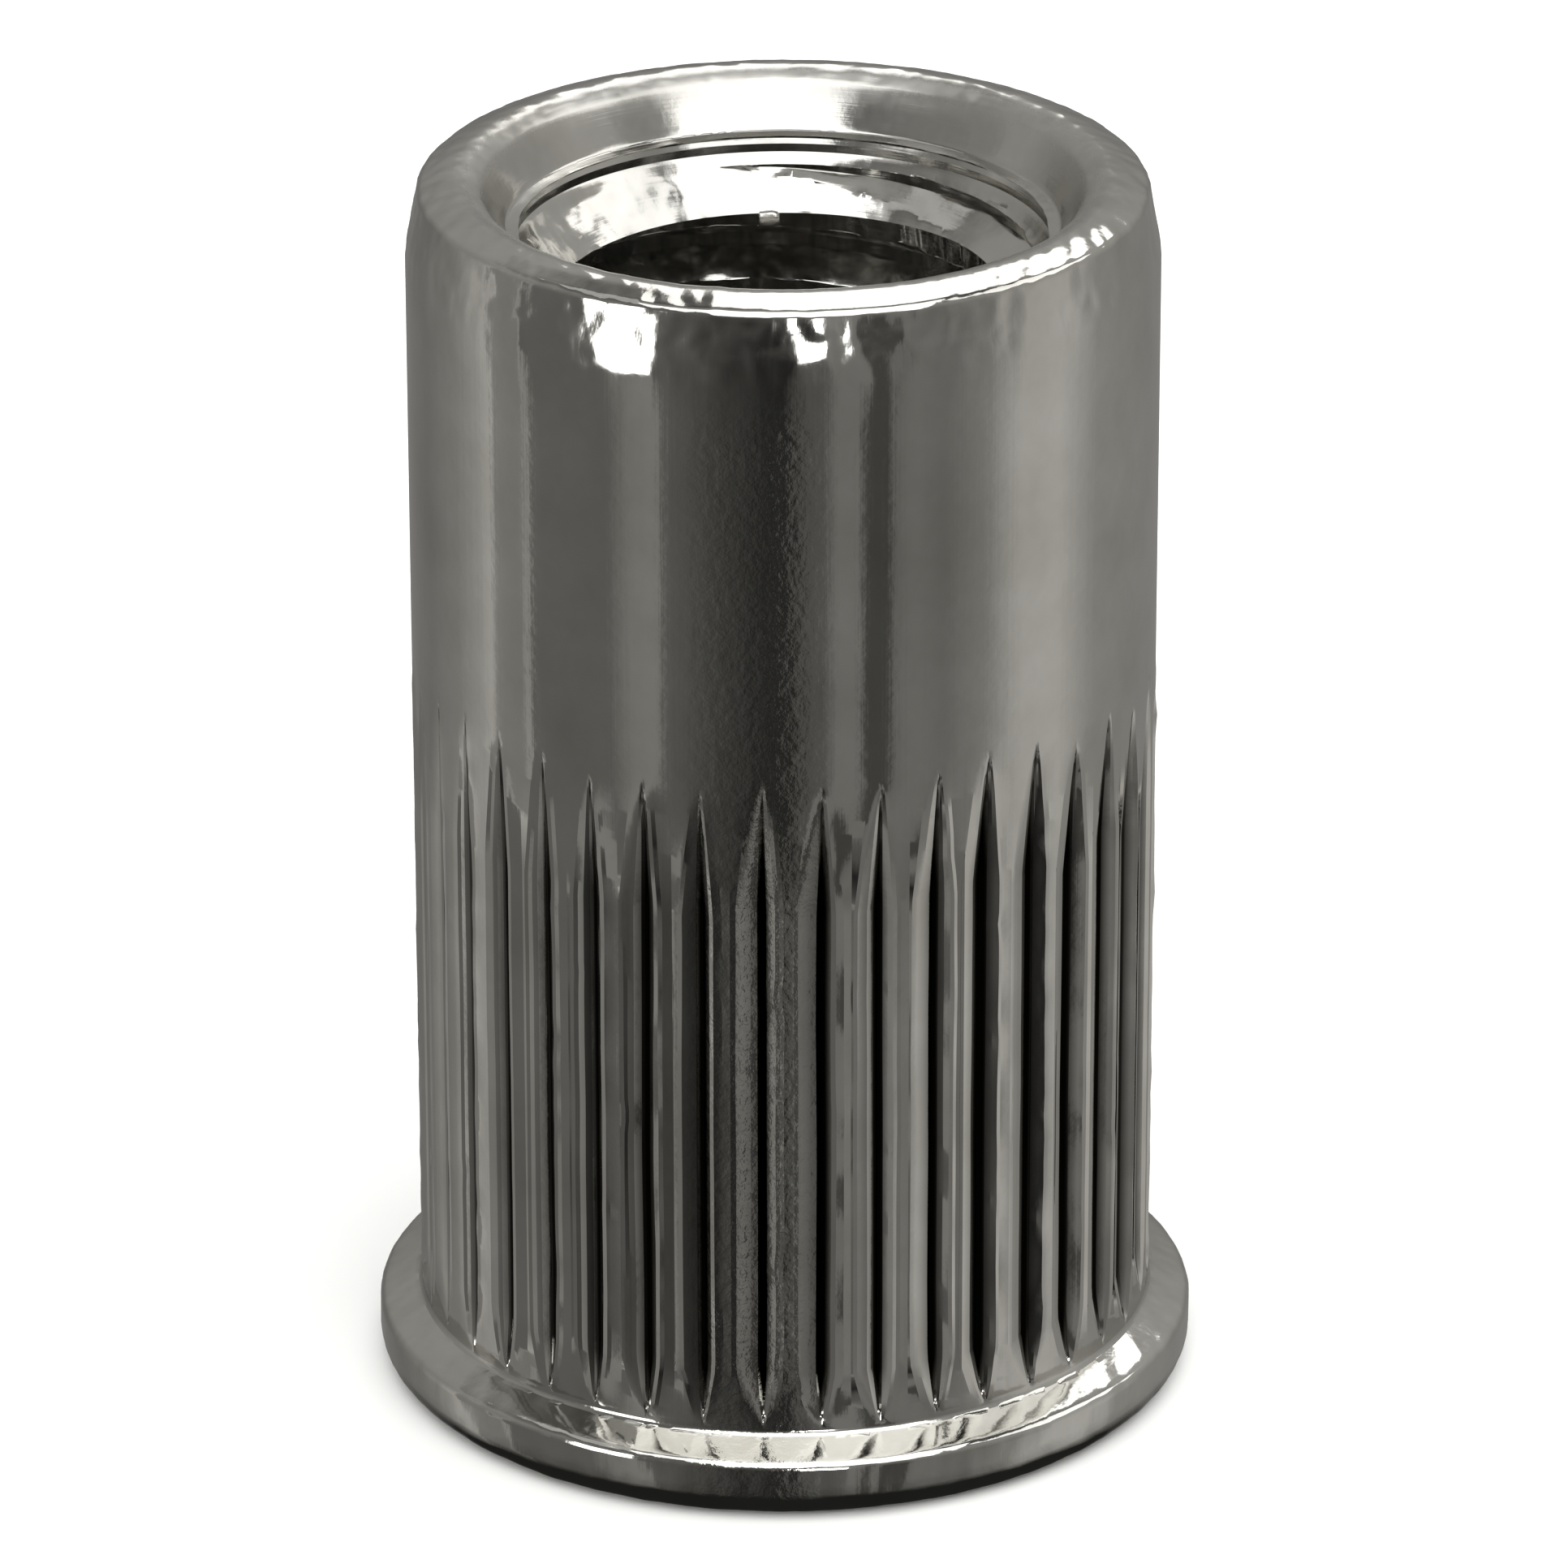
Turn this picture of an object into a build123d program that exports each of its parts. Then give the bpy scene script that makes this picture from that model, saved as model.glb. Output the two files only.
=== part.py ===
from build123d import *
import math
import os

# Rivet nut for a 6 mm screw: one cold-formed steel sleeve, open at both ends.
# It stands on its head. The head's outer face is z = 0, and +Z runs up to the threaded end.
# All sizes are in millimetres.

# Thread and its mouth
thread_size = 6.0
thread_pitch = 1.0
thread_length = 5.7        # from the lip of the mouth down to the end of the tapped hole
mouth_depth = 0.66         # from the end face down to the lip
lead_in_angle = 90.0       # included angle of the cone that starts the thread
step_angle = 120.0         # included angle of the cone below the tapped hole

# Sleeve
body_diameter = 9.0
wall = 1.2                 # beside the mouth, and round the counterbore where the sleeve folds
overall_length = 15.4
nose_length = 0.84         # the rounded shoulder at the threaded end
nose_blend_radius = 1.6    # where the body turns into the shoulder
lip_radius = 0.08

# Shape of the threaded end, as shares of the wall
nose_taper_share = 0.12    # how far the shoulder comes in from the body's surface
nose_edge_share = 0.1      # rounding of the outer edge
end_fall_share = 0.1       # how far the end face falls from its crest to the outer edge
crest_share = 0.6          # where it starts to fall, from the mouth outwards
crest_blend_share = 0.8    # rounding of the crest
flare_share = 0.32         # the funnel that leads into the mouth
flare_edge_share = 0.17    # rounding between the end face and the funnel

# Head
head_overhang = 0.53       # how far the head stands out past the body
rim_height = 0.76          # the head's edge, from its outer face
underhead_rise = 0.17      # the face under the head climbs this much to the body
face_edge_radius = 0.36    # rounding of the head's outer face
rim_edge_radius = 0.12     # rounding of the rim towards the body
counterbore_chamfer = 0.2

# Straight knurl: V-grooves pressed along the body, with pointed upper ends
groove_count = 40
first_groove_angle = 5.5   # degrees from +X
groove_width = 0.44
groove_angle = 92.0        # included angle of the V
groove_top = 9.35          # height of the grooves' upper points
tip_length = 1.5           # the upper end shallows out over this length
run_out_length = 0.7       # the lower end shallows out over this length
root_land = 0.05           # plain strip left between the grooves and the head
cutter_overshoot = 0.1     # how far a cutter stands out past the body's surface

thread_bore_radius = (thread_size - thread_pitch) / 2
body_radius = body_diameter / 2
clear_radius = body_radius - wall
head_radius = body_radius + head_overhang
root_height = rim_height + underhead_rise
lip_height = overall_length - mouth_depth
bore_bottom = lip_height - thread_length


def cone_height(inner_radius, outer_radius, included_angle):
    """Height of a cone between two radii."""
    return (outer_radius - inner_radius) / math.tan(math.radians(included_angle / 2))


def sleeve():
    """The sleeve without its knurl: a half section, turned once round the axis."""
    bore_top = lip_height - cone_height(thread_bore_radius, clear_radius, lead_in_angle)
    step_height = bore_bottom - cone_height(thread_bore_radius, clear_radius, step_angle)
    funnel_radius = clear_radius + flare_share * wall
    nose_edge = (body_radius - nose_taper_share * wall, overall_length - end_fall_share * wall)
    crest = (clear_radius + crest_share * wall, overall_length)
    corners_and_roundings = [
        # the head, from its outer face to the body
        ((clear_radius + counterbore_chamfer, 0), 0),
        ((head_radius, 0), face_edge_radius),
        ((head_radius, rim_height), rim_edge_radius),
        ((body_radius, root_height), 0),
        # the shoulder and the end face
        ((body_radius, overall_length - nose_length), nose_blend_radius),
        (nose_edge, nose_edge_share * wall),
        (crest, crest_blend_share * wall),
        ((funnel_radius, overall_length), flare_edge_share * wall),
        # the mouth, the tapped hole and the counterbore, from the top down
        ((clear_radius, lip_height), lip_radius),
        ((thread_bore_radius, bore_top), 0),
        ((thread_bore_radius, bore_bottom), 0),
        ((clear_radius, step_height), 0),
        ((clear_radius, counterbore_chamfer), 0),
    ]
    corners = [(radius, 0, height) for (radius, height), _ in corners_and_roundings]
    roundings = [rounding for _, rounding in corners_and_roundings]
    half_section = make_face(FilletPolyline(*corners, radius=roundings, close=True))
    return revolve(half_section, Axis.Z, 360)


def groove_cutter():
    """A V-shaped bar that sinks into the body and comes out again at both of its ends."""
    flare = math.tan(math.radians(groove_angle / 2))
    depth = groove_width / 2 / flare
    bottom = root_height + root_land
    stations = [
        (bottom, 0),
        (bottom + run_out_length, depth),
        (groove_top - tip_length, depth),
        (groove_top, 0),
    ]
    sections = []
    for height, sunk in stations:
        apex = body_radius - sunk
        outer = apex + depth + cutter_overshoot
        half_width = (outer - apex) * flare
        corners = [(apex, 0), (outer, half_width), (outer, -half_width)]
        sections.append(Pos(0, 0, height) * make_face(Polyline(*corners, close=True)))
    return loft(sections, ruled=True)


def rivet_nut():
    """The sleeve with its ring of grooves."""
    cutter = groove_cutter()
    grooves = [place * cutter for place in PolarLocations(0, groove_count, first_groove_angle)]
    return sleeve() - grooves


os.makedirs("parts", exist_ok=True)
nut = rivet_nut()
export_step(nut, "parts/rivet_nut.step")
print(f"rivet nut: {nut.volume:.1f} mm3, wall {wall:.2f} mm, thread bore {2 * thread_bore_radius:.2f} mm")
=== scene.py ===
# %% [markdown]
# # A rivet nut in plated steel
#
# A rivet nut is a threaded sleeve that a tool pulls into a hole in thin sheet. This one is a
# single cold-formed piece: a small head, a shank with a straight knurl that keeps it from
# turning, and a tapped upper end. The CAD model gives its place and size. This script models
# the surfaces that the eye meets, then lights them as for a catalogue picture.

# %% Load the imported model
import math

import bmesh
import bpy
import numpy as np
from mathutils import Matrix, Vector, noise


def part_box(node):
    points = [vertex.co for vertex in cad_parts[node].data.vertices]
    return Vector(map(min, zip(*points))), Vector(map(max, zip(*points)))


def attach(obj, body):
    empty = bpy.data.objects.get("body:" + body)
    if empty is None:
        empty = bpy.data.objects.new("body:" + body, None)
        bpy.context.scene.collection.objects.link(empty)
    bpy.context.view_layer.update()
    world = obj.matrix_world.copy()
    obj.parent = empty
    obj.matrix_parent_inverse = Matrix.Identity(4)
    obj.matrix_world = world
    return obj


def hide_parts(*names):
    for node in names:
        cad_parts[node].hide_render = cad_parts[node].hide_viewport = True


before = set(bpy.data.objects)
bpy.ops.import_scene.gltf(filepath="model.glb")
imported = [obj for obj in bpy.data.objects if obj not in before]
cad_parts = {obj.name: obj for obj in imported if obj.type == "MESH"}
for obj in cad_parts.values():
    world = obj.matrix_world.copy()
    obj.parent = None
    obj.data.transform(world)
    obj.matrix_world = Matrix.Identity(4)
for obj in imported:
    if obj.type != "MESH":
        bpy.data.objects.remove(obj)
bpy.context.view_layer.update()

MM = 0.001
cad_low, cad_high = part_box("rivet_nut")
print("CAD box in mm:", [round(v / MM, 2) for v in (*cad_low, *cad_high)])

# %% [markdown]
# ## Sizes
#
# The length and the head's radius come from the CAD box, so the dressed nut always fits the
# solid that it stands for. The others are those of the drawing: an M6 thread of 1 mm pitch, a
# 9 mm body and a wall of 1.2 mm. The thread's crests stand a little further out than in the
# drawing, where the photo's picture of the mouth puts them. All lengths are in metres.

# %% Sizes of the nut
overall_length = cad_high.z
head_radius = min(cad_high.x, cad_high.y, -cad_low.x, -cad_low.y)
body_radius = 4.5 * MM
wall = 1.2 * MM
rim_height = 0.76 * MM
root_height = 0.93 * MM
nose_start = overall_length - 0.84 * MM
clear_radius = body_radius - wall
lip_height = overall_length - 0.66 * MM
bore_radius = 2.62 * MM      # to the thread's crests
bore_bottom = lip_height - 5.7 * MM
thread_pitch = 1.0 * MM
print(f"body {2 * body_radius / MM:.1f} mm, head {2 * head_radius / MM:.2f} mm, "
      f"length {overall_length / MM:.1f} mm")

# %% [markdown]
# ## The turned form
#
# On the real nut the outline is made by dies that close round a steel slug. Every section
# through the axis is the same, so half of the section is drawn as a chain of edges, its
# corners are rounded, and it is spun about the axis. A stack of cylinders would need a boolean
# at each step, and would leave no rounded edges for the light to catch.

# %% Helpers for edit mode
def lone_vertex(name):
    """A new object in edit mode, with one vertex at the origin."""
    bpy.ops.object.select_all(action="DESELECT")
    bpy.ops.mesh.primitive_plane_add(size=MM)
    piece = bpy.context.object
    piece.name = piece.data.name = name
    bpy.ops.object.mode_set(mode="EDIT")
    bpy.ops.mesh.select_all(action="SELECT")
    bpy.ops.mesh.merge(type="CENTER")
    return piece


def draw_chain(corners):
    """Moves the vertex to the first corner, given as radius and height, and extrudes it on."""
    points = [(radius, 0, height) for radius, height in corners]
    bpy.ops.transform.translate(value=points[0])
    for here, there in zip(points, points[1:]):
        step = [b - a for a, b in zip(here, there)]
        bpy.ops.mesh.extrude_vertices_move(TRANSFORM_OT_translate={"value": step})


def select_where(piece, kind, test):
    """Selects the vertices or edges whose middle, as radius and height, passes a test."""
    bpy.ops.mesh.select_mode(type=kind)
    bpy.ops.mesh.select_all(action="DESELECT")
    mesh = bmesh.from_edit_mesh(piece.data)
    elements = mesh.verts if kind == "VERT" else mesh.edges
    for element in elements:
        corners = [element] if kind == "VERT" else element.verts
        middle = sum((corner.co for corner in corners), Vector()) / len(corners)
        if test(middle.x, middle.z):
            element.select = True
    mesh.select_flush_mode()
    bmesh.update_edit_mesh(piece.data)


# %% Draw the half section
near = 0.002 * MM
counterbore_chamfer = 0.2 * MM
face_corner = (head_radius, 0)
rim_corner = (head_radius, rim_height)
root_corner = (body_radius, root_height)
run_out_line = (body_radius, 1.7 * MM)
tips_line = (body_radius, 7.6 * MM)
band_top = (body_radius, 9.9 * MM)
shoulder_corner = (body_radius, nose_start)
nose_corner = (body_radius - 0.12 * wall, overall_length - 0.1 * wall)
crest_corner = (clear_radius + 0.6 * wall, overall_length)
funnel_corner = (clear_radius + 0.32 * wall, overall_length)
lip_corner = (clear_radius, lip_height)
# below the lip: a narrow ledge, an undercut that stays dark, and the cone that starts the thread
ledge_corner = (clear_radius - 0.16 * MM, lip_height - 0.02 * MM)
undercut_corner = (clear_radius - 0.09 * MM, lip_height - 0.07 * MM)
undercut_foot = (clear_radius - 0.12 * MM, lip_height - 0.13 * MM)
cone_corner = (clear_radius - 0.1 * MM, lip_height - 0.24 * MM)
cone_foot = (bore_radius, cone_corner[1] - (cone_corner[0] - bore_radius))
step_top = (bore_radius, bore_bottom)
step_foot = (clear_radius, bore_bottom - (clear_radius - bore_radius) / math.tan(math.radians(60)))
chamfer_top = (clear_radius, counterbore_chamfer)
chamfer_foot = (clear_radius + counterbore_chamfer, 0)

nut = lone_vertex("rivet_nut_steel")
draw_chain([
    chamfer_foot, face_corner, rim_corner, root_corner, run_out_line, tips_line, band_top,
    shoulder_corner, nose_corner, crest_corner, funnel_corner, lip_corner, ledge_corner,
    undercut_corner, undercut_foot, cone_corner, cone_foot, step_top, step_foot, chamfer_top,
])
select_where(nut, "VERT", lambda r, z: max(r, z) < near + clear_radius + counterbore_chamfer
             and z < near + counterbore_chamfer)
bpy.ops.mesh.edge_face_add()
section_corners = len(bmesh.from_edit_mesh(nut.data).verts)
print("corners of the half section:", section_corners)

# %% Round its corners
# Each corner is cut back by a length along both of its edges, and gets a number of segments.
for corner, cut, segments in [
    (face_corner, 0.36 * MM, 7),
    (rim_corner, 0.09 * MM, 5),
    (root_corner, 0.045 * MM, 3),
    (shoulder_corner, 0.16 * MM, 3),
    (nose_corner, 0.07 * MM, 5),
    (crest_corner, 0.1 * MM, 4),
    (funnel_corner, 0.23 * MM, 9),
    (lip_corner, 0.032 * MM, 3),
]:
    select_where(nut, "VERT", lambda r, z: math.dist((r, z), corner) < near)
    bpy.ops.mesh.bevel(offset=cut, segments=segments, affect="VERTICES")

# %% Add rows where the surface will be shaped further
for low, high, cuts in [
    (root_corner, run_out_line, 12),
    (run_out_line, tips_line, 38),
    (tips_line, band_top, 28),
    (band_top, shoulder_corner, 8),
    (shoulder_corner, nose_corner, 8),
    (nose_corner, crest_corner, 3),
    (funnel_corner, lip_corner, 8),
    (rim_corner, root_corner, 5),
    (cone_corner, cone_foot, 9),
]:
    reach = 0.09 * MM + 0.02 * abs(high[1] - low[1])
    middle = ((low[0] + high[0]) / 2, (low[1] + high[1]) / 2)
    select_where(nut, "EDGE", lambda r, z: math.dist((r, z), middle) < reach)
    bpy.ops.mesh.subdivide(number_cuts=cuts)

# %% Spin it about the axis
groove_count = 40
columns_per_groove = 12
columns = columns_per_groove * groove_count
bpy.ops.mesh.select_mode(type="VERT")
bpy.ops.mesh.select_all(action="SELECT")
bpy.ops.mesh.spin(steps=columns, angle=math.tau, center=(0, 0, 0), axis=(0, 0, 1))


def close_and_face_outwards(piece):
    """Merges doubles, turns every face outwards, and leaves edit mode."""
    bpy.ops.mesh.select_all(action="SELECT")
    bpy.ops.mesh.remove_doubles(threshold=0.0005 * MM)
    bpy.ops.mesh.normals_make_consistent(inside=False)
    if bmesh.from_edit_mesh(piece.data).calc_volume(signed=True) < 0:
        bpy.ops.mesh.flip_normals()
    bpy.ops.object.mode_set(mode="OBJECT")


def open_edges(piece):
    """How many edges of a mesh don't have exactly two faces."""
    corners = np.zeros(len(piece.data.loops), int)
    piece.data.loops.foreach_get("edge_index", corners)
    return int((np.bincount(corners, minlength=len(piece.data.edges)) != 2).sum())


close_and_face_outwards(nut)
print("after the spin:", len(nut.data.polygons), "faces,", open_edges(nut), "open edges")

# %% [markdown]
# ## The thread
#
# The real hole is tapped: a tool like a hardened screw cuts a V-shaped helix into the plain
# bore. The same is done here. One pitch of the tap's outline is drawn, a Screw modifier winds
# it up into a closed solid, and a Boolean takes that solid out of the sleeve. Rows of rings
# would be quicker, but a thread climbs as it goes round, and the eye sees it in the mouth.

# %% Make the tap
tap_tip_radius = 3.08 * MM
tap_core_radius = 2.4 * MM
tip_flat = thread_pitch / 8
flank_height = (tap_tip_radius - tap_core_radius) * math.tan(math.radians(30))
tap_turns = 8
flank_rows = 5
# the groove's middle passes this height at the back of the nut, on +Y
groove_at_back = 14.4 * MM
tap_start = groove_at_back - (tap_turns - 0.75) * thread_pitch

tap = lone_vertex("tap")
draw_chain([(radius, tap_start + height) for radius, height in [
    (tap_core_radius, -thread_pitch / 2),
    (tap_core_radius, -tip_flat / 2 - flank_height),
    (tap_tip_radius, -tip_flat / 2),
    (tap_tip_radius, tip_flat / 2),
    (tap_core_radius, tip_flat / 2 + flank_height),
    (tap_core_radius, thread_pitch / 2),
]])
middle_of_flanks = (tap_core_radius + tap_tip_radius) / 2
select_where(tap, "EDGE", lambda r, z: abs(r - middle_of_flanks) < near)
bpy.ops.mesh.subdivide(number_cuts=flank_rows)
bpy.ops.object.mode_set(mode="OBJECT")
winding = tap.modifiers.new("winding", "SCREW")
winding.screw_offset = thread_pitch
winding.iterations = tap_turns
winding.steps = winding.render_steps = 160
winding.use_merge_vertices = True
winding.merge_threshold = 0.001 * MM
bpy.ops.object.modifier_apply(modifier="winding")

# %% Close its ends
bpy.ops.object.mode_set(mode="EDIT")
bpy.ops.mesh.select_all(action="SELECT")
bpy.ops.mesh.remove_doubles(threshold=0.0005 * MM)
bpy.ops.mesh.select_all(action="DESELECT")
bpy.ops.mesh.select_mode(type="EDGE")
bpy.ops.mesh.select_non_manifold()
bpy.ops.mesh.fill_holes(sides=0)
close_and_face_outwards(tap)
print("the tap:", len(tap.data.polygons), "faces,", open_edges(tap), "open edges")

# %% Tap the hole
cut = nut.modifiers.new("tapping", "BOOLEAN")
cut.operation = "DIFFERENCE"
cut.solver = "EXACT"
cut.object = tap
bpy.ops.object.select_all(action="DESELECT")
bpy.context.view_layer.objects.active = nut
nut.select_set(True)
bpy.ops.object.modifier_apply(modifier="tapping")
bpy.data.objects.remove(tap)
print("tapped:", len(nut.data.polygons), "faces,", open_edges(nut), "open edges")

# %% [markdown]
# ## The knurl
#
# A die with forty teeth presses the grooves into the shank, so that the set nut can't turn in
# its hole. Each tooth leaves a straight V with a pointed upper end, and the steel it pushes
# aside stands up a little along one edge, while the other edge is rolled over. The grooves
# bite deeper on the right, as they do when the blank sits off centre in the die. No two are
# quite alike: the edges wander, some flanks have a step, and the points end at slightly
# different heights. The spin left twelve columns of vertices for each groove, so the groove is
# made by giving each column its place: five columns on either side of the crease, and one in
# the middle of the land. A boolean with forty cutters would make all the grooves the same.

# %% Shape of one groove
groove_pitch = math.tau / groove_count
first_groove = math.radians(5.5)
groove_half_width = 0.22 * MM
groove_depth = 0.21 * MM
groove_top = 9.33 * MM
groove_bottom = root_height + 0.06 * MM
tip_length = 1.6 * MM
run_out_length = 0.7 * MM
narrowest = 0.03 * MM
burr_height = 0.012 * MM
mean_bite = 0.88           # share of the depth and width, all round
bite_swing = 0.2           # how much more of it on the right, and less on the left
crease_shift = 0.2         # how far the crease sits off the groove's middle, to the right
scratch_depth = 0.03 * MM  # in the middle of every second land, on average
# where each column beside the crease lies, as a share of the half width and an extra width
column_share = np.array([0, 0.3, 0.66, 1.0, 1.0, 1.0, 1.0])
column_extra = np.array([0, 0, 0, 0, 0.05, 0.1, 0.0]) * MM
# how much of the depth each column keeps
column_depth = np.array([1.0, 0.5, 0.2, 0, 0, 0, 0])
column_burr = np.array([0, 0, 0, 1.0, 0.7, 0.1, 0])
# how far the edge on the left of each groove is rolled over
rolled = np.array([0, 0, 0.02, 0.036, 0.016, 0.003, 0]) * MM
print(f"grooves {groove_count}, pitch {body_radius * groove_pitch / MM:.3f} mm on the surface")

# %% Helpers for uneven edges
rng = np.random.default_rng(38)


def eased(share):
    """A smooth step from 0 to 1."""
    share = np.clip(share, 0, 1)
    return share * share * (3 - 2 * share)


def wander(heights, step, size):
    """A line that strays by about a size, with a new direction after each step of height."""
    knots = np.arange(heights.min() - step, heights.max() + 2 * step, step)
    return np.interp(heights, knots, rng.normal(0, size, len(knots)))


def kinks(heights, chance, size):
    """Short notches in an edge: mostly nothing, and now and then a nick or a step."""
    line = np.zeros(len(heights))
    for _ in range(rng.poisson(chance)):
        middle = rng.uniform(heights.min(), heights.max())
        half_length = rng.uniform(0.08, 0.3) * MM
        line += rng.normal(0, size) * np.clip(1 - abs(heights - middle) / half_length, 0, 1)
    return line


# %% Press the grooves
count = len(nut.data.vertices)
places = np.zeros(count * 3)
nut.data.vertices.foreach_get("co", places)
places = places.reshape(-1, 3)
radii = np.hypot(places[:, 0], places[:, 1])
angles = np.arctan2(places[:, 1], places[:, 0])
in_band = ((abs(radii - body_radius) < 0.0005 * MM) & (places[:, 2] > root_height + 0.03 * MM)
           & (places[:, 2] < band_top[1] + near))
band = np.flatnonzero(in_band)
column = np.rint(angles[band] / math.tau * columns).astype(int)
nearest = np.rint(first_groove / math.tau * columns).astype(int)
offset = (column - nearest + columns_per_groove // 2 - 1) % columns - columns_per_groove // 2 + 1
groove_of = (offset + columns_per_groove // 2 - 1) // columns_per_groove
place_in_groove = offset - groove_of * columns_per_groove
even_angle = angles[band]
print("vertices in the knurled band:", len(band))

for groove in range(groove_count):
    of_groove = groove_of == groove
    crease = first_groove + groove * groove_pitch + rng.normal(0, 0.0022)
    top = groove_top + rng.normal(0, 0.1 * MM)
    bottom = groove_bottom + rng.uniform(0, 0.1 * MM)
    bite = mean_bite + bite_swing * math.cos(first_groove + groove * groove_pitch)
    full_depth = groove_depth * bite * rng.uniform(0.9, 1.08)
    scratch = scratch_depth * (rng.random() < 0.5)
    crease_heights = np.unique(places[band[of_groove], 2])
    crease_wander = wander(crease_heights, 1.8 * MM, 0.005 * MM)
    for side in (-1, 1):
        half_width = groove_half_width * bite * (1 - crease_shift * side) * rng.uniform(0.9, 1.1)
        edge_wander = (wander(crease_heights, 0.8 * MM, 0.004 * MM)
                       + kinks(crease_heights, 1.2, 0.014 * MM))
        facet_steps = np.array([0, *rng.uniform(-0.2, 0.2, 2), 0])
        land_steps = rng.uniform(-0.014, 0.004, 2) * MM
        burr = (side == 1) * burr_height * rng.uniform(0.2, 1.3) * (
            1 + wander(crease_heights, 0.3 * MM, 0.4))
        # the crease and the middle of the land belong to the right side alone
        for beside in range(7) if side == 1 else range(1, 6):
            chosen = of_groove & (place_in_groove == side * beside)
            rows = band[chosen]
            height = places[rows, 2]
            row = np.searchsorted(crease_heights, height)
            opening = (np.clip((top - height) / tip_length, 0, 1) ** 0.85
                       * np.clip((height - bottom) / run_out_length, 0, 1) ** 0.8)
            width = narrowest + (half_width - narrowest) * opening + edge_wander[row] * opening
            aside = side * (width * column_share[beside] + column_extra[beside]) / body_radius
            if beside == 6:
                aside = groove_pitch / 2
            wanted = crease + crease_wander[row] / body_radius * (beside < 4) + aside
            near_groove = eased((top + 0.35 * MM - height) / (0.35 * MM)) * eased(
                (height - root_height) / (0.1 * MM))
            gap = (wanted - even_angle[chosen] + math.pi) % math.tau - math.pi
            angle = even_angle[chosen] + gap * near_groove
            sunk = full_depth * opening * column_depth[beside]
            if beside < 4:
                sunk *= 1 + facet_steps[beside]
            if beside == 6:
                sunk += scratch * opening
            if beside in (4, 5):
                sunk -= land_steps[beside - 4] * opening
            if side == -1:
                sunk += rolled[beside] * opening
            raised = burr[row] * column_burr[beside] * np.clip(opening * 3, 0, 1)
            radius = body_radius - sunk + raised
            places[rows, 0] = radius * np.cos(angle)
            places[rows, 1] = radius * np.sin(angle)

nut.data.vertices.foreach_set("co", places.ravel())
nut.data.update()
print("the knurl's outermost point:", round(np.hypot(*places[band, :2].T).max() / MM, 3), "mm")

# %% [markdown]
# ## Unevenness from the press
#
# Cold-formed steel isn't as true as a drawing. The shoulder and the head bear shallow hollows
# from the dies and from tumbling in a barrel with other nuts. They are too shallow to see as
# shapes, but they break up the reflections of the lamps. Each vertex is moved in along its
# normal by a smooth noise, only inwards, so that the nut never grows past its CAD size. The
# same is done, more coarsely, to the crests that the tap has torn.

# %% Shallow hollows
def hollows(normals, chosen, size, depth, seed, stretch=1.0):
    """Moves vertices inwards by up to a depth, in hollows of about a size, longer round."""
    for index in np.flatnonzero(chosen):
        x, y, z = places[index]
        r = math.hypot(x, y)
        point = Vector((x / stretch, y / stretch, z)) / size + Vector((seed, r / size, 0))
        share = 0.5 + 0.5 * noise.fractal(point, 1.0, 2.0, 3)
        places[index] -= normals[index] * depth * min(max(share, 0), 1)


normals = np.zeros(count * 3)
nut.data.vertices.foreach_get("normal", normals)
normals = normals.reshape(-1, 3)
radii = np.hypot(places[:, 0], places[:, 1])
heights = places[:, 2]
outside = radii > funnel_corner[0] - 0.05 * MM
shoulder = outside & (heights > nose_start - 0.1 * MM)
head = outside & (heights < root_height - near)
funnel = ~outside & (heights > lip_height - near)
hollows(normals, shoulder, 0.28 * MM, 0.02 * MM, 3.0)
hollows(normals, head, 0.3 * MM, 0.014 * MM, 7.0)
hollows(normals, funnel, 0.7 * MM, 0.008 * MM, 11.0)

# %% Chips along the thread
in_thread = (radii < ledge_corner[0] + near) & (heights > bore_bottom) & (heights < lip_height)
first_turn = heights > lip_height - 1.1 * MM
hollows(normals, in_thread & first_turn, 0.12 * MM, 0.04 * MM, 17.0, stretch=4.0)
hollows(normals, in_thread & ~first_turn, 0.14 * MM, 0.07 * MM, 19.0, stretch=2.0)
nut.data.vertices.foreach_set("co", places.ravel())
nut.data.update()
print("vertices in the thread:", int(in_thread.sum()))

# %% Hand the piece to the frame
# upright edges of the knurl that turn by more than this stay sharp
facet_angle = math.radians(7)
bpy.ops.object.select_all(action="DESELECT")
nut.select_set(True)
bpy.context.view_layer.objects.active = nut
sharp_angle = math.radians(28)
bpy.ops.object.shade_smooth_by_angle(angle=sharp_angle)
bpy.ops.object.mode_set(mode="EDIT")
mesh = bmesh.from_edit_mesh(nut.data)
for edge in mesh.edges:
    low, high = sorted(corner.co.z for corner in edge.verts)
    upright = high - low > 0.9 * edge.calc_length()
    in_knurl = root_height < low and high < band_top[1]
    if upright and in_knurl and edge.calc_face_angle() > facet_angle:
        edge.smooth = False
bmesh.update_edit_mesh(nut.data)
bpy.ops.object.mode_set(mode="OBJECT")
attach(nut, "root")
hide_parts("rivet_nut")
print("faces:", len(nut.data.polygons), "open edges:", open_edges(nut))
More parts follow.
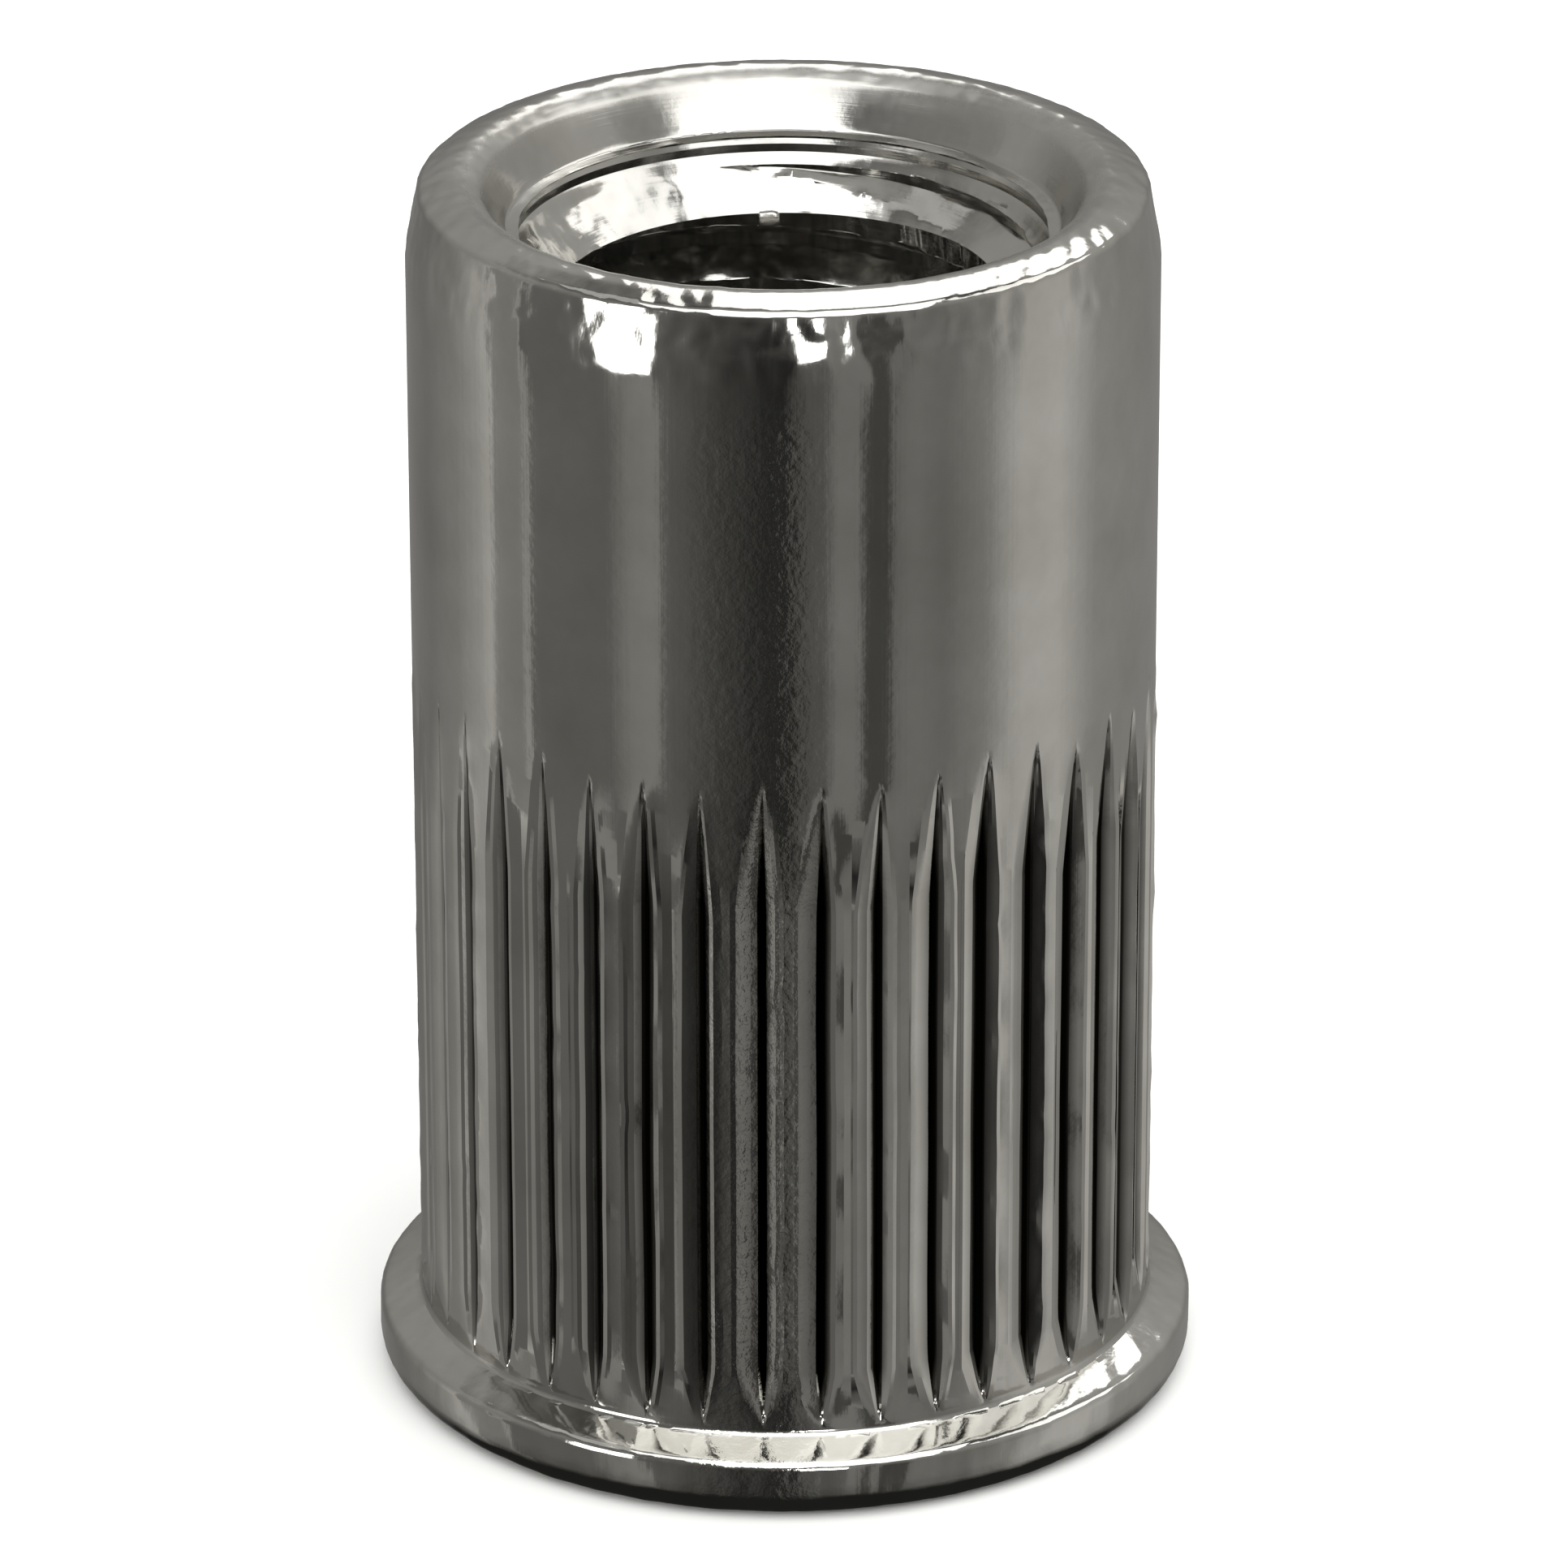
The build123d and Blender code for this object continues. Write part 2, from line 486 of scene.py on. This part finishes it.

# %% [markdown]
# ## The steel
#
# The nut is carbon steel, pressed cold and plated with a thin bright layer. A metal has no
# colour of its own beside its reflections, so its look is made of how sharp they are. The
# shank is drawn through a die, which leaves it glossy with faint lines along the axis and a
# fine orange peel. The funnel and the mouth are turned, so they are duller, with fine rings
# round the axis. Bump gives those marks, because they are a thousandth of a millimetre deep.
# The front of the shank has a rougher patch, and the bottoms of the grooves get painted shade.

# %% Node helper
def add(tree, kind, links=None, values=None, **settings):
    """Adds a node: its settings, the values of its sockets, and what is linked to them."""
    node = tree.nodes.new(kind)
    for name, value in settings.items():
        setattr(node, name, value)
    for socket, value in (values or {}).items():
        node.inputs[socket].default_value = value
    for socket, output in (links or {}).items():
        tree.links.new(output, node.inputs[socket])
    return node


def linear(hex_colour):
    """A colour written as sRGB hex, as linear red, green, blue and alpha."""
    parts = [int(hex_colour[at:at + 2], 16) / 255 for at in (1, 3, 5)]
    return [p / 12.92 if p <= 0.04045 else ((p + 0.055) / 1.055) ** 2.4 for p in parts] + [1]


# %% Where the surface was drawn and where it was turned
steel = bpy.data.materials.new("cold_formed_plated_steel")
steel.use_nodes = True
tree = steel.node_tree
shader = tree.nodes["Principled BSDF"]
place = add(tree, "ShaderNodeTexCoord").outputs["Object"]
parts = add(tree, "ShaderNodeSeparateXYZ", {0: place})
flat = add(tree, "ShaderNodeCombineXYZ", {0: parts.outputs["X"], 1: parts.outputs["Y"]})
radius = add(tree, "ShaderNodeVectorMath", {0: flat.outputs[0]}, operation="LENGTH")
turned = add(tree, "ShaderNodeMapRange", {"Value": radius.outputs["Value"]},
             {"From Min": funnel_corner[0] + 0.15 * MM, "From Max": funnel_corner[0] - 0.05 * MM})

# %% The rough patch on the front of the shank
# the photo shows dark mottling there, between the shoulder and the head
patch_middle = -0.35 * MM
from_middle = add(tree, "ShaderNodeMath", {0: parts.outputs["X"]}, {1: -patch_middle}, operation="ADD")
aside = add(tree, "ShaderNodeMath", {0: from_middle.outputs[0]}, operation="ABSOLUTE")
narrow = add(tree, "ShaderNodeMapRange", {"Value": aside.outputs[0]},
             {"From Min": 0.9 * MM, "From Max": 0.4 * MM})
facing = add(tree, "ShaderNodeMapRange", {"Value": parts.outputs["Y"]},
             {"From Min": -3.0 * MM, "From Max": -4.0 * MM})
below_nose = add(tree, "ShaderNodeMapRange", {"Value": parts.outputs["Z"]},
                 {"From Min": nose_start - 0.1 * MM, "From Max": nose_start - 0.9 * MM})
in_front = add(tree, "ShaderNodeMath", {0: narrow.outputs[0], 1: facing.outputs[0]},
               operation="MULTIPLY")
rough_patch = add(tree, "ShaderNodeMath", {0: in_front.outputs[0], 1: below_nose.outputs[0]},
                  operation="MULTIPLY")
blotches = add(tree, "ShaderNodeTexNoise", {"Vector": place},
               {"Scale": 1 / (0.14 * MM), "Detail": 3.0, "Roughness": 0.6})

# %% Marks of each process
peel = add(tree, "ShaderNodeTexNoise", {"Vector": place},
           {"Scale": 1 / (0.13 * MM), "Detail": 2.0, "Roughness": 0.5})
along = add(tree, "ShaderNodeMapping", {"Vector": place}, {"Scale": (1, 1, 0.015)})
lines = add(tree, "ShaderNodeTexNoise", {"Vector": along.outputs[0]},
            {"Scale": 1 / (0.1 * MM), "Detail": 3.0, "Roughness": 0.55})
rings_at = add(tree, "ShaderNodeCombineXYZ",
               {0: radius.outputs["Value"], 1: parts.outputs["Z"]})
drift = add(tree, "ShaderNodeVectorMath", {0: flat.outputs[0]},
            {"Scale": 0.02}, operation="SCALE")
rings_place = add(tree, "ShaderNodeVectorMath",
                  {0: rings_at.outputs[0], 1: drift.outputs[0]}, operation="ADD")
rings = add(tree, "ShaderNodeTexNoise", {"Vector": rings_place.outputs[0]},
            {"Scale": 1 / (0.035 * MM), "Detail": 2.0})
stains = add(tree, "ShaderNodeTexNoise", {"Vector": place},
             {"Scale": 1 / (1.6 * MM), "Detail": 4.0, "Roughness": 0.6})

# %% Put them together
peel_bump = add(tree, "ShaderNodeBump", {"Height": peel.outputs["Fac"]},
                {"Strength": 1.0, "Distance": 0.0011 * MM})
blotch_bump = add(tree, "ShaderNodeBump",
                  {"Height": blotches.outputs["Fac"], "Normal": peel_bump.outputs[0],
                   "Strength": rough_patch.outputs[0]}, {"Distance": 0.009 * MM})
line_bump = add(tree, "ShaderNodeBump",
                {"Height": lines.outputs["Fac"], "Normal": blotch_bump.outputs[0]},
                {"Strength": 1.0, "Distance": 0.0009 * MM})
ring_bump = add(tree, "ShaderNodeBump",
                {"Height": rings.outputs["Fac"], "Normal": line_bump.outputs[0],
                 "Strength": turned.outputs[0]}, {"Distance": 0.0012 * MM})
tree.links.new(ring_bump.outputs[0], shader.inputs["Normal"])
tone = add(tree, "ShaderNodeValToRGB", {"Fac": stains.outputs["Fac"]})
tone.color_ramp.elements[0].position, tone.color_ramp.elements[1].position = 0.3, 0.7
tone.color_ramp.elements[0].color = linear("#BBB9B3")
tone.color_ramp.elements[1].color = linear("#CCCBC6")

# %% Painted shade in the grooves
# the base colour is darkened towards the bottoms of the grooves: painted shade for the dark
# reflections that fill the creases
groove_shade_depth = add(tree, "ShaderNodeMapRange", {"Value": radius.outputs["Value"]},
             {"From Min": body_radius - 0.03 * MM, "From Max": body_radius - 0.13 * MM})
outer = add(tree, "ShaderNodeMath", {0: radius.outputs["Value"]},
            {1: body_radius - 0.35 * MM}, operation="GREATER_THAN")
above_head = add(tree, "ShaderNodeMath", {0: parts.outputs["Z"]}, {1: root_height},
                 operation="GREATER_THAN")
under_tips = add(tree, "ShaderNodeMath", {0: parts.outputs["Z"]}, {1: band_top[1]},
                 operation="LESS_THAN")
groove_shade = groove_shade_depth.outputs[0]
for limit in (outer, above_head, under_tips):
    groove_shade = add(tree, "ShaderNodeMath", {0: groove_shade, 1: limit.outputs[0]},
               operation="MULTIPLY").outputs[0]
# painted shade: the tone is multiplied by a dark grey where the groove is deepest
groove_shaded_tone = add(tree, "ShaderNodeMix", {0: groove_shade, 6: tone.outputs[0]}, {7: linear("#5A5854")},
            data_type="RGBA", blend_type="MULTIPLY")
tree.links.new(groove_shaded_tone.outputs[2], shader.inputs["Base Color"])

# %% How sharp the reflections are
# the drawn steel is the sharpest, the funnel is duller, and its rounded brow is the dullest
turned_adds = 0.06
brow_adds = 0.2
gloss = add(tree, "ShaderNodeMapRange", {"Value": lines.outputs["Fac"]},
            {"From Min": 0.3, "From Max": 0.7, "To Min": 0.06, "To Max": 0.11})
dull = add(tree, "ShaderNodeMath", {0: turned.outputs[0], 2: gloss.outputs[0]},
           {1: turned_adds}, operation="MULTIPLY_ADD")
inside_crest = add(tree, "ShaderNodeMapRange", {"Value": radius.outputs["Value"]},
                   {"From Min": crest_corner[0], "From Max": crest_corner[0] - 0.3 * MM})
near_end = add(tree, "ShaderNodeMapRange", {"Value": parts.outputs["Z"]},
               {"From Min": overall_length - 0.4 * MM, "From Max": overall_length - 0.06 * MM})
brow = add(tree, "ShaderNodeMath", {0: inside_crest.outputs[0], 1: near_end.outputs[0]},
           operation="MULTIPLY")
duller = add(tree, "ShaderNodeMath", {0: brow.outputs[0], 2: dull.outputs[0]},
             {1: brow_adds}, operation="MULTIPLY_ADD")
tree.links.new(duller.outputs[0], shader.inputs["Roughness"])
shader.inputs["Metallic"].default_value = 1.0
nut.data.materials.clear()
nut.data.materials.append(steel)
print("nodes in the steel:", len(tree.nodes))

# %% [markdown]
# ## Camera
#
# The photo was taken from a little above, at about 23 degrees, through a long lens. The
# camera's distance and focal length were fitted to the outlines of the rim and the head.

# %% Camera
camera_distance = 125.0 * MM
camera_elevation = math.radians(23.39)
aim_height = 8.0 * MM
focal_px = 12678.0
photo_px = 1932
sensor_mm = 36.0
bpy.ops.object.camera_add(location=(
    0, -camera_distance * math.cos(camera_elevation),
    aim_height + camera_distance * math.sin(camera_elevation)))
camera = bpy.context.object
camera.data.sensor_width = sensor_mm
camera.data.lens = focal_px / photo_px * sensor_mm
camera.data.clip_start = 1 * MM
tilt = math.radians(-0.215)
roll = math.radians(0.082)
camera.rotation_euler = (math.pi / 2 - camera_elevation + tilt, 0, 0)
camera.rotation_euler.rotate_axis("Z", -roll)
bpy.context.scene.camera = camera
print(f"lens {camera.data.lens:.1f} mm")

# %% [markdown]
# ## Light
#
# Polished metal is photographed by its surroundings: grey cards stand round the nut, and a few
# soft lamps above them give the highlights. The cards are painted on the world, in a ramp that
# runs round the horizon, and only glossy rays see them. The upper cards are lighter than the
# lower ones, a dark canopy hangs over both, the zenith is open, and far below it is dark. To
# the camera the world is plain white, and to the floor it is white as well. The floor is left
# out of the reflections, as if the nut stood on a small plinth with the cards reaching below it.

# %% Cards round the nut
world = bpy.data.worlds.new("studio")
bpy.context.scene.world = world
world.use_nodes = True
sky = world.node_tree
sky.nodes.clear()
direction = add(sky, "ShaderNodeTexCoord").outputs["Generated"]
toward = add(sky, "ShaderNodeSeparateXYZ", {0: direction})
front = add(sky, "ShaderNodeMath", {0: toward.outputs["Y"]}, {1: -1.0}, operation="MULTIPLY")
bearing = add(sky, "ShaderNodeMath", {0: toward.outputs["X"], 1: front.outputs[0]},
              operation="ARCTAN2")
turn = add(sky, "ShaderNodeMath", {0: bearing.outputs[0]}, {1: 1 / math.tau, 2: 0.5},
           operation="MULTIPLY_ADD")


def ring_of_cards(cards):
    """A ramp round the horizon: degrees from the front, + to the right, and a grey level."""
    ramp = add(sky, "ShaderNodeValToRGB", {"Fac": turn.outputs[0]})
    elements = ramp.color_ramp.elements
    while len(elements) < len(cards):
        elements.new(0.5)
    for element, (degrees, level) in zip(elements, cards):
        element.position = degrees / 360 + 0.5
        element.color = (level, level * 0.985, level * 0.95, 1)
    return ramp.outputs["Color"]


low_cards = ring_of_cards([
    (-180, 0.22), (-140, 0.21), (-120, 0.3), (-107, 0.44), (-101, 0.58), (-99.5, 0.31),
    (-90, 0.28), (-86.5, 0.28), (-86, 0.42), (-84.5, 0.42), (-84, 0.17), (-55, 0.165),
    (-48, 0.28), (-38.5, 0.31), (-37, 0.16), (-22, 0.085), (-12, 0.055), (-1, 0.022),
    (7, 0.12), (12, 0.13), (16, 0.24), (23, 0.24), (25, 0.08), (32, 0.08), (34, 0.2),
    (40, 0.23), (50, 0.2), (64, 0.3), (77, 0.57), (93, 0.6), (111, 0.36), (180, 0.22),
])
high_cards = ring_of_cards([
    (-180, 0.45), (-120, 0.4), (-60, 0.25), (-20, 0.12), (20, 0.3), (60, 0.35), (100, 0.5),
    (150, 0.5), (180, 0.45),
])


def between(low, high):
    """A share that goes from 0 to 1 between two elevations in degrees."""
    return add(sky, "ShaderNodeMapRange", {"Value": toward.outputs["Z"]},
               {"From Min": math.sin(math.radians(low)), "From Max": math.sin(math.radians(high))}
               ).outputs[0]


# %% Stack the cards
canopy_grey = (0.1, 0.098, 0.094, 1)
zenith_grey = (0.42, 0.414, 0.4, 1)
below_grey = (0.02, 0.02, 0.019, 1)
cards = add(sky, "ShaderNodeMix", {0: between(0, 35), 6: low_cards, 7: high_cards},
            data_type="RGBA")
for low, high, grey in [(40, 60, canopy_grey), (64, 76, zenith_grey), (-28, -44, below_grey)]:
    cards = add(sky, "ShaderNodeMix", {0: between(low, high), 6: cards.outputs[2]}, {7: grey},
                data_type="RGBA")
print("nodes in the world:", len(sky.nodes))

# %% White world for everything but reflections
path = add(sky, "ShaderNodeLightPath")
surroundings = add(sky, "ShaderNodeBackground", {"Color": cards.outputs[2]}, {"Strength": 1.0})
plain = add(sky, "ShaderNodeBackground", values={"Color": (1, 1, 1, 1), "Strength": 0.75})
backdrop = add(sky, "ShaderNodeBackground", values={"Color": (1, 1, 1, 1), "Strength": 1.0})
mixed = add(sky, "ShaderNodeMixShader",
            {0: path.outputs["Is Glossy Ray"], 1: plain.outputs[0], 2: surroundings.outputs[0]})
seen = add(sky, "ShaderNodeMixShader",
           {0: path.outputs["Is Camera Ray"], 1: mixed.outputs[0], 2: backdrop.outputs[0]})
add(sky, "ShaderNodeOutputWorld", {"Surface": seen.outputs[0]})

# %% Soft lamps
lamp_distance = 500 * MM
aim = Vector((0, 0, aim_height))


def softbox(name, azimuth, elevation, width, height, level):
    """A rectangular lamp that fills an angle, seen from the nut: all angles in degrees."""
    across, up = math.radians(azimuth), math.radians(elevation)
    place = aim + lamp_distance * Vector((
        math.sin(across) * math.cos(up), -math.cos(across) * math.cos(up), math.sin(up)))
    bpy.ops.object.light_add(type="AREA", location=place)
    lamp = bpy.context.object
    lamp.name = name
    lamp.rotation_euler = (place - aim).to_track_quat("Z", "Y").to_euler()
    lamp.data.shape = "RECTANGLE"
    lamp.data.size = 2 * lamp_distance * math.tan(math.radians(width) / 2)
    lamp.data.size_y = 2 * lamp_distance * math.tan(math.radians(height) / 2)
    lamp.data.energy = math.pi * level * lamp.data.size * lamp.data.size_y
    return lamp


# name, then azimuth, elevation, width and height in degrees, and how bright it looks
for lamp in [
    ("left_strip", -50, 8, 20, 36, 3.6),   # the white patch on the left of the shoulder
    ("front_spot", 9.5, 8, 9, 17, 6.0),    # the white spot in the middle of it
    ("front_top", 12, 61, 60, 58, 2.0),    # the patch on the funnel's far side
    ("right_box", 104, 46, 40, 22, 1.5),   # the left of the cone that starts the thread
    ("back_box", 170, 50, 26, 32, 1.9),    # the white arc along the front of the rim
    ("left_top", -105, 64, 50, 12, 0.5),   # a faint fill on the right of that cone
]:
    lit = softbox(*lamp)
    print(f"{lit.name}: {lit.data.size:.2f} by {lit.data.size_y:.2f} m, {lit.data.energy:.2f} W")

# %% Floor
bpy.ops.mesh.primitive_plane_add(size=2)
floor = bpy.context.object
floor.name = "floor"
floor.visible_glossy = False
paper = bpy.data.materials.new("white_paper_sweep")
paper.use_nodes = True
paper_inputs = paper.node_tree.nodes["Principled BSDF"].inputs
paper_inputs["Base Color"].default_value = linear("#F4F4F2")
paper_inputs["Roughness"].default_value = 0.9
paper_inputs["Specular IOR Level"].default_value = 0.1
floor.data.materials.append(paper)
bpy.context.scene.view_settings.view_transform = "Standard"
